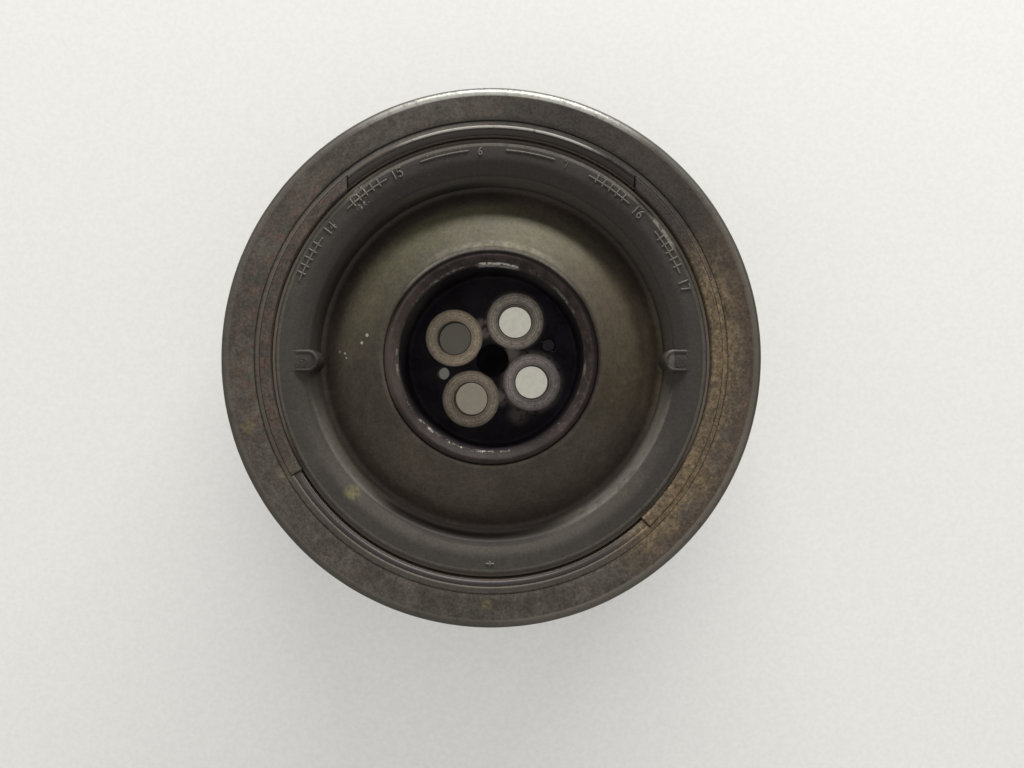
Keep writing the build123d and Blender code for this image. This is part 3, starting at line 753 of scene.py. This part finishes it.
def hub_finish():
    """Sooty oily recess, bolt seats worn bright with ring marks, purple brown rim with a chipped edge,
    darkened at the bottom and at its outer edge at the top as painted shade.
    """
    f = Finish("hub steel")
    soot = f.blend(f.patches(8, 91, 0.35, 0.65), (0.0075, 0.0055, 0.0085), (0.02, 0.016, 0.02))
    rim = f.times(f.above(45.5, 47.5), f.past(27.6, 28.3))
    rim_colour = f.painted(
        (0.03, 0.023, 0.022),
        (f.patches(3.2, 92, 0.38, 0.62), (0.054, 0.04, 0.037)),
        ((f.patches(1.6, 93, 0.55, 0.68), 0.7), (0.1, 0.08, 0.074)),
        ((f.patches(1.2, 90, 0.58, 0.68), 0.7), (0.012, 0.009, 0.009)),
        # painted shade: the rim darkened at the bottom
        ((f.sector(200, 46, 34), 0.6), (0.013, 0.01, 0.009)),
        # painted shade: the rim's inner edge darkened at the bottom
        ((f.past(29.6, 28.4), f.sector(215, 75, 40), 0.8), (0.008, 0.006, 0.006)),
        ((f.past(31.2, 31.8), 0.8), (0.014, 0.01, 0.009)),
        ((f.sector(282, 26, 18), 0.45), (0.085, 0.066, 0.058)),
        # painted shade: the rim's outer edge darkened at the top, where the dish's crest shades it
        ((f.past(31.0, 31.6), f.sector(5, 62, 30), 0.85), (0.003, 0.002, 0.002)),
        ((f.sector(75, 45, 20), f.past(30.4, 31.3), 0.7), (0.008, 0.005, 0.005)),
    )
    knocked = f.most(
        f.sector(52, 7, 8), f.sector(96, 4, 6), f.sector(220, 5, 7), f.times(f.sector(268, 6, 6), 0.75),
        f.times(f.sector(188, 18, 14), 0.45), f.times(f.sector(325, 10, 14), 0.8))
    top = f.sector(4, 8, 9)
    broken = f.plus(f.noise(1.5, 94, 5, 0.7), f.most(knocked, f.times(top, 1.2)), 0.13)
    down = f.most(f.above(46.3, 47.3), f.times(top, f.above(42.6, 44.4)))
    chips = f.times(f.ring(27.5, 28.7, 0.4), down, f.rise(broken, 0.56, 0.68))
    seats, seat_colour = bolt_seats(f)
    level = f.times(f.above(19.5, 20.8), f.above(23.4, 22.8))
    seats = f.times(seats, level)
    residue = f.most(
        f.spot(-3.3, 10.6, 2.2, 2.4), f.times(f.spot(6.4, 2.2, 1.0, 3.0), 0.9), f.spot(2.0, -12.5, 0.8, 3.4),
        f.times(f.spot(13.0, -7.4, 9.0, 2.6), 0.55), f.times(f.spot(7.4, 13.0, 9.0, 1.8), 0.35),
        f.times(f.spot(8.5, -18.0, 1.0, 4.0), 0.5))
    residue = f.times(residue, level, f.patches(2.4, 95, 0.3, 0.55))
    navy = f.times(f.sector(80, 40, 30), level, f.past(16.0, 22.0), f.patches(5, 96, 0.4, 0.6))
    dot = f.times(f.spot(14.2, -18.6, 0.25, 0.2), level)
    base = f.painted(
        soot,
        ((navy, 0.6), (0.028, 0.024, 0.04)),
        ((residue, 0.85), (0.25, 0.215, 0.195)),
        (rim, rim_colour),
        ((chips, 0.9), (0.19, 0.175, 0.15)),
        ((chips, top), (0.6, 0.58, 0.52)),
        (seats, seat_colour),
        (dot, (0.01, 0.008, 0.01)),
    )
    metal = f.mix(seats, f.times(chips, 0.3), 0.75)
    rough = f.mix(f.most(seats, chips), f.mix(f.noise(3, 97, 5), 0.45, 0.68), 0.42)
    normal = f.relief((f.noise(1.6, 98, 6, 0.65), 0.12), (f.noise(0.5, 99, 4), 0.03), (chips, 0.1))
    return f.surface(base, rough, metal, normal, specular=0.12)


def iron_finish():
    """Cast iron, dark and grainy, with rust in the pores."""
    f = Finish("inertia iron")
    base = f.blend(f.noise(9, 71, 6), (0.035, 0.031, 0.028), (0.07, 0.058, 0.048))
    rusty = f.rise(f.noise(4, 72, 6, 0.7), 0.5, 0.68)
    base = f.blend(f.times(rusty, 0.6), base, (0.12, 0.06, 0.032))
    normal = f.relief((f.noise(0.9, 73, 5, 0.7), 0.1), (f.noise(3.5, 74, 4), 0.08))
    return f.surface(base, f.mix(rusty, 0.55, 0.8), 0.2, normal)


# Plain finishes: name, seed, the sizes of the clouds, of the gloss's lumps and of the grain, dark and light
# colour, roughness from low to high, metallic, depth of the grain
PIN = ("pin steel", 61, (1.5, 0.8, 0.6), (0.016, 0.013, 0.017), (0.04, 0.034, 0.04), (0.45, 0.6), 0.4, 0.02)
TRACK = ("track rubber", 81, (5, 2, 0.7), (0.012, 0.012, 0.012), (0.03, 0.029, 0.027), (0.55, 0.75), 0, 0.04)
BEARING = (
    "bearing plastic", 91, (4, 1.5, 0.8), (0.022, 0.02, 0.019), (0.05, 0.045, 0.04), (0.4, 0.55), 0, 0.02)


def plain_finish(name, seed, sizes, dark, light, rough, metallic, depth):
    """Dull material of one clouded colour with a fine grain."""
    f = Finish(name)
    base = f.blend(f.noise(sizes[0], seed, 5), dark, light)
    gloss = f.mix(f.noise(sizes[1], seed + 1), *rough)
    return f.surface(base, gloss, metallic, f.relief((f.noise(sizes[2], seed + 2), depth)))


# Pieces

# Path of each digit's stroke, in shares of its height
DIGITS = {
    "1": [(0, 0.5), (0, -0.5)],
    "4": [(0.3, -0.18), (-0.3, -0.18), (0.14, 0.5), (0.14, -0.5)],
    "5": [(0.27, 0.5), (-0.22, 0.5), (-0.25, 0.08), (0.04, 0.12), (0.26, -0.08), (0.25, -0.34), (0.04, -0.5),
          (-0.27, -0.42)],
    "6": [(0.18, 0.5), (-0.13, 0.25), (-0.27, -0.1), (-0.2, -0.4), (0.02, -0.5), (0.24, -0.38), (0.26, -0.14),
          (0.08, 0.04), (-0.12, 0.02), (-0.25, -0.14)],
    "7": [(-0.28, 0.5), (0.28, 0.5), (0, -0.5)],
}


def rubber_marks(width, height):
    """Moulded date ticks: six scales of five ticks on a base arc, each with its number after it, and a small
    cross at the bottom."""
    parts = []
    first_scale, scale_pitch, tick_pitch, number_offset = 298.65, 24.12, 2.25, 10.1
    middle = 62.9

    def line(radius, angle, size=1.0):
        """One raised line along radii and clock angles."""
        radius, angle = np.broadcast_arrays(radius, angle)
        path = np.stack(clock(radius, angle), 1)
        parts.append(stroke(path, width * (0.4 + 0.6 * size), height * size, RUBBER_FACE))

    for index, number in enumerate(("14", "15", "6", "7", "16", "17")):
        centre = first_scale + scale_pitch * index
        faint = number in ("6", "7")
        line(63.3 if faint else middle, np.linspace(-6.7, 6.7, 28) + centre)
        for step in range(-2, 3):
            line(np.linspace(62.0, 64.4, 6), centre + step * tick_pitch, 0.35 if faint else 1.0)
        size = 2.2 if faint else 2.7
        for place, digit in enumerate(number):
            turn = centre + number_offset + (place - (len(number) - 1) / 2) * 1.75
            across, up = np.array(DIGITS[digit]).T * size
            line(middle + up, turn + np.degrees(across * 0.85 / middle), 0.6 if number == "7" else 1.0)
    line(62.7 + np.linspace(-0.6, 0.6, 5), 180.4)
    line(62.7, np.linspace(179.4, 181.4, 6))
    return parts


def length_property(name, description, default, low, high):
    """Length with its default and limits in millimetres."""
    return bpy.props.FloatProperty(
        name=name, description=description, default=default * MM, min=low * MM, max=high * MM, unit="LENGTH",
        precision=5)


def colour_property(name, description, default):
    """Colour swatch with a name, a description and a default."""
    return bpy.props.FloatVectorProperty(
        name=name, description=description, default=default, subtype="COLOR", size=3, min=0, max=1)


class DamperSizes(bpy.types.PropertyGroup):
    """Sizes of the finish's own detail."""

    steps: bpy.props.IntProperty(
        name="Steps", description="Divisions round the axis of turned pieces", default=600, min=90, max=900)
    mark_width: length_property("Mark width", "Width of the rubber's moulded lines", 0.55, 0.1, 1)
    mark_height: length_property("Mark height", "Height of the rubber's moulded lines", 0.28, 0.05, 0.6)
    wear: length_property("Wear", "Depth of the dents and worn edges", 0.08, 0, 0.5)


class DamperColours(bpy.types.PropertyGroup):
    """Base colours of the finishes."""

    dish_steel: colour_property(
        "Dish steel", "Bare pressed steel of the dish, its olive part", (0.074, 0.066, 0.037))
    dish_brown: colour_property("Dish brown", "The dish's grey brown part", (0.074, 0.061, 0.047))
    pulley_steel: colour_property("Pulley steel", "Browned steel of the belt pulley", (0.07, 0.062, 0.051))
    carrier_steel: colour_property(
        "Carrier steel", "Browned steel of the outer carrier", (0.068, 0.059, 0.049))
    stop_steel: colour_property("Stop steel", "Browned steel of the stop segments", (0.068, 0.056, 0.047))
    rubber: colour_property("Rubber", "Aged rubber of the decoupler", (0.053, 0.049, 0.042))
    rust: colour_property("Rust", "Purple brown rust", (0.075, 0.055, 0.049))
    tan_rust: colour_property("Tan rust", "Pale dusty rust", (0.124, 0.09, 0.055))
    floor: colour_property("Floor", "Pale floor", (0.8, 0.79, 0.76))


def looks(context):
    """The two property groups of the scene."""
    return context.scene.damper_sizes, context.scene.damper_colours


class DAMPER_OT_belt_pulley(bpy.types.Operator):
    """Belt pulley: ribbed rim and broad front face, turned from one outline"""

    bl_idname = "damper.belt_pulley"
    bl_label = "Belt pulley"

    def execute(self, context):
        sizes, colours = looks(context)
        front, rear = FRONT_FACE - 4.2, PULLEY_REAR + 3.0     # inner faces of the two flanges
        tip, root, pitch = 80.2, 77.5, 3.56
        flat = 0.4                                            # half the width of a groove's bottom
        flare = (tip - root) * 0.36397                        # tangent of a groove's half angle, 20 degrees
        bearing, shoulder, shoulder_rear, shoulder_front = 74.5, 70.4, 33.8, 36.0
        corners = [(CARRIER_SEAT, FRONT_FACE, 0.15), (PULLEY_RADIUS, FRONT_FACE, 2.5)]
        corners += [(PULLEY_RADIUS, front, 0.2), (tip, front, 0.1)]
        for index in range(6):
            middle = front - (index + 0.5) * pitch
            corners += [(tip, middle + flat + flare, 0.25), (root, middle + flat, 0.2)]
            corners += [(root, middle - flat, 0.2), (tip, middle - flat - flare, 0.25)]
        corners += [(tip, rear, 0.1), (PULLEY_RADIUS, rear, 0.2), (PULLEY_RADIUS, PULLEY_REAR, 0.8)]
        corners += [(bearing, PULLEY_REAR, 0.2), (bearing, shoulder_rear, 0.2)]
        corners += [(shoulder, shoulder_rear, 0.2), (shoulder, shoulder_front, 0.2)]
        corners += [(CARRIER_SEAT, shoulder_front, 0.1)]
        wear = sizes.wear / MM

        def worn(x, y, z):
            """Hollows of the wear's depth, only ever inwards."""
            return -wear * 0.5 * (1 + rough_cloud(x, y, z, (7.0, 2.2), 3))

        shape = turned(outline(corners, 1.6), sizes.steps, worn)
        piece("pulley_ring", shape, pulley_finish(colours), "pulley_steel", "belt_pulley")
        return {"FINISHED"}


class DAMPER_OT_outer_carrier(bpy.types.Operator):
    """Outer carrier: steel ring with the stop channel and its ledge"""

    bl_idname = "damper.outer_carrier"
    bl_label = "Outer carrier"

    def execute(self, context):
        sizes, colours = looks(context)
        inner, outer, rear = 65.6, CARRIER_SEAT - 0.05, 36.05
        flange, bead, strip, lip = FRONT_FACE - 0.12, FRONT_FACE + 0.1, FRONT_FACE - 0.2, 47.9
        corners = [(inner, rear, 0.2), (outer, rear, 0.2), (outer, flange, 0.2), (71.15, flange, 0.3)]
        corners += [(70.05, bead, 0.3), (69.75, 50.03, 0.1), (69.55, 49.7, 0.1), (69.35, strip, 0.1)]
        corners += [(CHANNEL[1], strip, 1.2), (CHANNEL[1], CHANNEL_FLOOR, 0.2)]
        corners += [(CHANNEL[0], CHANNEL_FLOOR, 0.2), (CHANNEL[0], lip, 0.25), (inner, lip, 0.25)]
        across, up = (CHANNEL[0] - 0.7, POCKET_RADIUS), (POCKET_FLOOR, FRONT_FACE + 2)
        pocket = [(across[0], up[0], 0), (across[1], up[0], 0), (across[1], up[1], 0), (across[0], up[1], 0)]
        cutters = []
        for start, end, slants in STOPS.values():
            cutters.append(arc_block(outline(pocket, 2.0), start - 0.2, end + 0.2, slants, 160, 0.01))
        shape = combined("DIFFERENCE", turned(outline(corners, 1.2), sizes.steps), *cutters)
        piece("channel_ring", shape, carrier_finish(colours), "carrier_steel", "outer_carrier")
        return {"FINISHED"}


class DAMPER_OT_stop_segments(bpy.types.Operator):
    """Stop segments: two thick rusty arcs seated in the channel"""

    bl_idname = "damper.stop_segments"
    bl_label = "Stop segments"

    def execute(self, context):
        finish = stop_finish(looks(context)[1])
        inner, tail, outer = CHANNEL[0] + SEGMENT_GAP, CHANNEL[1] - SEGMENT_GAP, POCKET_RADIUS - SEGMENT_GAP
        foot, seat, top = CHANNEL_FLOOR + SEGMENT_GAP, POCKET_FLOOR + SEGMENT_GAP, FRONT_FACE + 0.15
        corners = [(inner, foot, 0.1), (tail, foot, 0.1), (tail, seat, 0.05), (outer, seat, 0.05)]
        corners += [(outer, top, 0.35), (inner, top, 0.5)]
        line = outline(corners, 0.5)

        def rusty(x, y, z):
            """Uneven scale on the top, only ever downwards."""
            return np.where(z > FRONT_FACE - 0.5, -0.06 * (1 + rough_cloud(x, y, z, (3.0, 1.1), 13)), 0)

        for side, (start, end, slants) in STOPS.items():
            shape = arc_block(line, start, end, slants, 260, 0.35, rusty)
            piece("stop_" + side, shape, finish, "stop_steel", "stop_segment_" + side)
        return {"FINISHED"}


class DAMPER_OT_decoupler_rubber(bpy.types.Operator):
    """Decoupler rubber: moulded ring with two tongues and raised date ticks"""

    bl_idname = "damper.decoupler_rubber"
    bl_label = "Decoupler rubber"

    def execute(self, context):
        sizes, colours = looks(context)
        inner, outer, lip = DISH_LINE[2][0], 65.55, 65.9
        base, step = 35.4, 47.95
        corners = [(inner, base, 0.2), (outer, base, 0.3), (outer, step, 0.1), (lip, step, 0.1)]
        corners += [(lip, RUBBER_FACE, 0.9), (60.35, RUBBER_FACE, 8.0), (55.85, 47.5, 1.6), (53.95, 39.56, 0)]
        upper, lower = sheet_sides(DISH_LINE, DISH_SHEET + 0.1)
        skin = [outline(corners, 1.0, closed=False)]
        skin += [upper[upper[:, 0] > 54.0], lower[lower[:, 0] > inner][::-1]]
        ring = turned(counter_clockwise(np.vstack(skin)), sizes.steps)
        parts = [combined("UNION", ring, *map(tongue, TONGUES)), *map(tongue_border, TONGUES)]
        parts += rubber_marks(sizes.mark_width / MM, sizes.mark_height / MM)
        piece("rubber_ring", joined(*parts), rubber_finish(colours), "soft_rubber", "decoupler_rubber", 45)
        return {"FINISHED"}


def dish_height(radius):
    """Height of the cone's upper surface at a radius: the middle line's fall plus half the sheet."""
    (crest, top, *_), (valley, bottom, *_) = DISH_LINE[1:3]
    slope = (top - bottom) / (valley - crest)
    return top - (radius - crest) * slope + DISH_SHEET / 2 * np.sqrt(1 + slope ** 2)


def tongue(angle):
    """Rubber tongue: a slot-shaped outline with a half-round tip, carried down from the flat face with a
    rounded top edge; its foot follows the dish's cone."""
    half, tip, root, edge = 3.4, 52.6, 61.5, 0.6
    top, lowest, clearance = RUBBER_FACE - 0.01, 39.42, 0.06
    turn = np.linspace(-pi / 2, pi / 2, 24)
    across = np.concatenate([[half], half * np.sin(-turn), [-half]])
    outward = np.concatenate([[root], tip + half - half * np.cos(turn), [root]])
    foot = np.maximum(dish_height(np.hypot(across, outward)) + clearance, lowest)
    rings = [np.stack([across, outward, foot], 1)]
    for bend in np.linspace(0, pi / 2, 6):
        share = 1 - (edge / half) * (1 - cos(bend))
        drawn = np.where(outward < root, tip + half + (outward - tip - half) * share, outward)
        rings.append(np.stack([across * share, drawn, np.full_like(across, top - edge * (1 - sin(bend)))], 1))
    x, y, z = np.moveaxis(np.stack(rings), 2, 0)
    return capped(np.stack([*swung(x, y, angle), z], 2))


def tongue_border(angle):
    """Raised border along a tongue's edge: out along one side, round the tip and back along the other."""
    half, tip, root, straight = 2.85, 53.15, 59.2, 1.5
    width, height = 0.85, 0.24
    turn = np.linspace(-pi / 2, pi / 2, 20)
    across = np.concatenate([[half, half], half * np.sin(-turn), [-half, -half]])
    ends = [root, root - straight]
    outward = np.concatenate([ends, tip + half - half * np.cos(turn), ends[::-1]])
    return stroke(np.stack(swung(across, outward, angle), 1), width, height, RUBBER_FACE - 0.02)


class DAMPER_OT_inner_carrier(bpy.types.Operator):
    """Inner carrier: pressed steel dish with a dent and slight waves"""

    bl_idname = "damper.inner_carrier"
    bl_label = "Inner carrier"

    def execute(self, context):
        sizes, colours = looks(context)
        upper, lower = sheet_sides(DISH_LINE, DISH_SHEET)
        line = counter_clockwise(np.vstack([upper, lower[::-1]]))
        wear = sizes.wear / MM

        def dented(x, y, z):
            """Slight waves of the pressing and one small dent."""
            soft = cloud(x, y, z, 16.0, 23) * wear * 0.5
            dent = 0.35 * np.exp(-((x + 14.8) ** 2 + (y - 46.5) ** 2) / 0.9)
            return np.where(z > FRONT_FACE, -np.abs(soft), soft) - dent

        shape = turned(line, sizes.steps, dented)
        piece("dish", shape, dish_finish(colours), "dish_steel", "inner_carrier")
        return {"FINISHED"}


class DAMPER_OT_hub(bpy.types.Operator):
    """Hub and locating pin: finishes on the CAD solids"""

    bl_idname = "damper.hub"
    bl_label = "Hub and pin"

    def execute(self, context):
        dress("hub", hub_finish())
        dress("locating_pin", plain_finish(*PIN))
        return {"FINISHED"}


class DAMPER_OT_inner_pieces(bpy.types.Operator):
    """Inertia ring, damper track, bush and thrust rings: finishes on the CAD solids"""

    bl_idname = "damper.inner_pieces"
    bl_label = "Inner pieces"

    def execute(self, context):
        dress("inertia_ring", iron_finish())
        dress("damper_rubber", plain_finish(*TRACK))
        plastic = plain_finish(*BEARING)
        for node in ("bearing_bush", "thrust_ring_front", "thrust_ring_rear"):
            dress(node, plastic)
        return {"FINISHED"}


def floor_finish(colour):
    """Pale floor that keeps shadows, with a little of its own light for the eye and for reflections; under
    the part that light is raised and warmed as painted light, and lowered under two bolt holes and the jig
    hole as painted shade.
    """
    f = Finish("floor")
    grain = f.blend(f.noise(40, 5, 3), colour, scaled(colour, 0.97))
    diffuse = f.node("BsdfDiffuse", {"Color": grain})
    rays = f.node("LightPath", {}).outputs
    seen = f.most(rays["Is Camera Ray"], rays["Is Glossy Ray"], rays["Is Transmission Ray"])
    under = f.past(30.0, 27.0)
    # spots of painted shade on the floor under two bolt holes and the jig hole
    lower_hole = f.spot(-8.4, -13.4, 7.0, 1.5)
    upper_hole = f.spot(-14.4, 8.5, 7.0, 1.5)
    jig_hole = f.spot(-18.3, -4.4, 2.8, 1.0)
    # painted light: a warm tint on the floor under the part, warmer under those holes
    warm = f.blend(f.most(lower_hole, upper_hole), (1.0, 0.96, 0.82), (1.0, 0.9, 0.68))
    tint = f.grained(f.blend(under, (1, 0.99, 0.97), warm), 6, 1.6, 0.93, 1.07)
    glow = f.node("Emission", {"Color": tint, "Strength": 1.0})
    # painted light: the floor's own light raised under the part, then lowered under those holes as painted
    # shade
    light = f.mix(under, 0.3, 0.415)
    for hole, glimmer in ((lower_hole, 0.172), (upper_hole, 0.05), (jig_hole, 0.095)):
        light = f.mix(hole, light, glimmer)
    share = f.times(seen, light)
    blend = f.node("MixShader", {0: share, 1: diffuse.outputs[0], 2: glow.outputs[0]})
    f.node("OutputMaterial", {0: blend.outputs[0]})
    return f.material


def floor_object(colour):
    """Pale square floor, just under the rear face."""
    half, low = 2.5, -0.05 * MM
    mesh = bpy.data.meshes.new("floor")
    corners = [(-half, -half, low), (half, -half, low), (half, half, low), (-half, half, low)]
    mesh.from_pydata(corners, [], [(0, 1, 2, 3)])
    mesh.materials.append(floor_finish(colour))
    return placed("floor", mesh)


def hang_lamp():
    """Long soft lamp low over the floor beyond the part's upper edge, facing the axis."""
    lamp = bpy.data.lights.new("studio lamp", "AREA")
    lamp.shape = "RECTANGLE"
    lamp.size = 1.2
    lamp.size_y = 0.19
    lamp.energy = 28
    lamp.color = (1.0, 0.985, 0.96)
    aim = 0.05                                                # height of the point that it faces
    distance, elevation, azimuth = 1.2, radians(12.5), radians(10)
    flat = distance * cos(elevation)
    light = placed("studio lamp", lamp)
    light.location = (flat * sin(azimuth), flat * cos(azimuth), distance * sin(elevation) + aim)
    light.rotation_euler = (pi / 2 - elevation, 0, pi - azimuth)


def surround(scene):
    """Even surroundings: the strength goes from 0.65 to 0.45 with the square of the view's rise."""
    scene.world = bpy.data.worlds.new("studio")
    scene.world.use_nodes = True
    tree = scene.world.node_tree
    way = add_node(tree, "TexCoord", {}).outputs["Generated"]
    upward = add_node(tree, "SeparateXYZ", {0: way}).outputs["Z"]
    square = add_node(tree, "Math", {0: upward, 1: 2}, operation="POWER").outputs[0]
    level = add_node(tree, "MapRange", {"Value": square, "To Min": 0.65, "To Max": 0.45}).outputs[0]
    sky = tree.nodes["Background"]
    sky.inputs["Color"].default_value = (1, 0.985, 0.95, 1)
    tree.links.new(level, sky.inputs["Strength"])


def set_camera(scene):
    """Camera over the front face, looking straight down, a little off the axis."""
    lens = bpy.data.cameras.new("camera")
    lens.lens = 30.59
    lens.sensor_width = 36
    scene.camera = placed("camera", lens)
    scene.camera.location = (6.37 * MM, -8.0 * MM, 313.8 * MM)


class DAMPER_OT_stage(bpy.types.Operator):
    """Pale floor, soft lamp, even surroundings and the camera"""

    bl_idname = "damper.stage"
    bl_label = "Stage"

    def execute(self, context):
        floor = floor_object(looks(context)[1].floor)
        hang_lamp()
        surround(context.scene)
        set_camera(context.scene)
        context.scene.view_settings.view_transform = "Standard"
        return {"FINISHED"}


OPERATORS = (
    DAMPER_OT_belt_pulley,
    DAMPER_OT_outer_carrier,
    DAMPER_OT_stop_segments,
    DAMPER_OT_decoupler_rubber,
    DAMPER_OT_inner_carrier,
    DAMPER_OT_hub,
    DAMPER_OT_inner_pieces,
    DAMPER_OT_stage,
)


class DAMPER_PT_sidebar(bpy.types.Panel):
    """Sidebar panel with the sizes, the colours and a button for each piece"""

    bl_idname = "DAMPER_PT_sidebar"
    bl_label = "Crankshaft damper"
    bl_space_type = "VIEW_3D"
    bl_region_type = "UI"
    bl_category = "Damper"

    def draw(self, context):
        for group in looks(context):
            box = self.layout.box()
            for name in group.__annotations__:
                box.prop(group, name)
        for operator in OPERATORS:
            self.layout.operator(operator.bl_idname)


CLASSES = (DamperSizes, DamperColours, *OPERATORS, DAMPER_PT_sidebar)


def register():
    """Makes the classes and the scene's two property groups known to Blender."""
    for item in CLASSES:
        bpy.utils.register_class(item)
    bpy.types.Scene.damper_sizes = bpy.props.PointerProperty(type=DamperSizes)
    bpy.types.Scene.damper_colours = bpy.props.PointerProperty(type=DamperColours)


def unregister():
    """Takes back what register did."""
    del bpy.types.Scene.damper_colours
    del bpy.types.Scene.damper_sizes
    for item in reversed(CLASSES):
        bpy.utils.unregister_class(item)


def main():
    """Builds every piece and the stage."""
    register()
    for operator in OPERATORS:
        group, name = operator.bl_idname.split(".")
        getattr(getattr(bpy.ops, group), name)()


if __name__ == "__main__":
    main()
